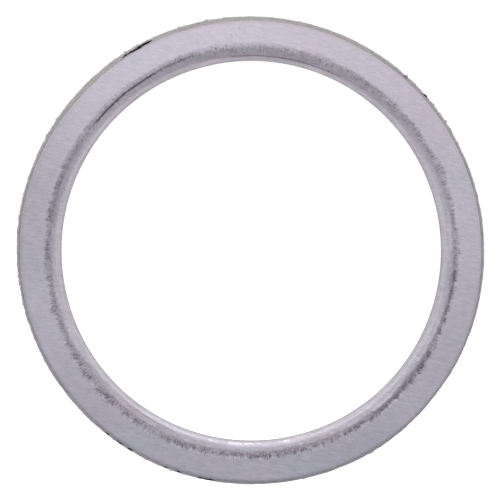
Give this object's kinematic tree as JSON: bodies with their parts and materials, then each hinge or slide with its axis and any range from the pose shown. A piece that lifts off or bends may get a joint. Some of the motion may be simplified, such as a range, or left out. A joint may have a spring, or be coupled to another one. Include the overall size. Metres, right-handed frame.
{
  "type": "exhaust gasket",
  "caption": "Flat ring gasket for an exhaust joint: thin sheet metal folded to a C section with rounded bends into the bore, round a fibre core that shows at the open outer edge.",
  "frame": {"origin": "on the bore's axis, in the plane of the back face that the gasket lies on", "axes": "+Z along the bore axis, from the back face to the front face; the ring is the same all round, so X and Y are free"},
  "size_m": [0.0448, 0.0448, 0.0053],
  "materials": {
    "jacket": "satin",
    "core": "matte"
  },
  "bodies": {
    "root": {"jacket": "jacket", "core": "core"}
  },
  "joints": []
}
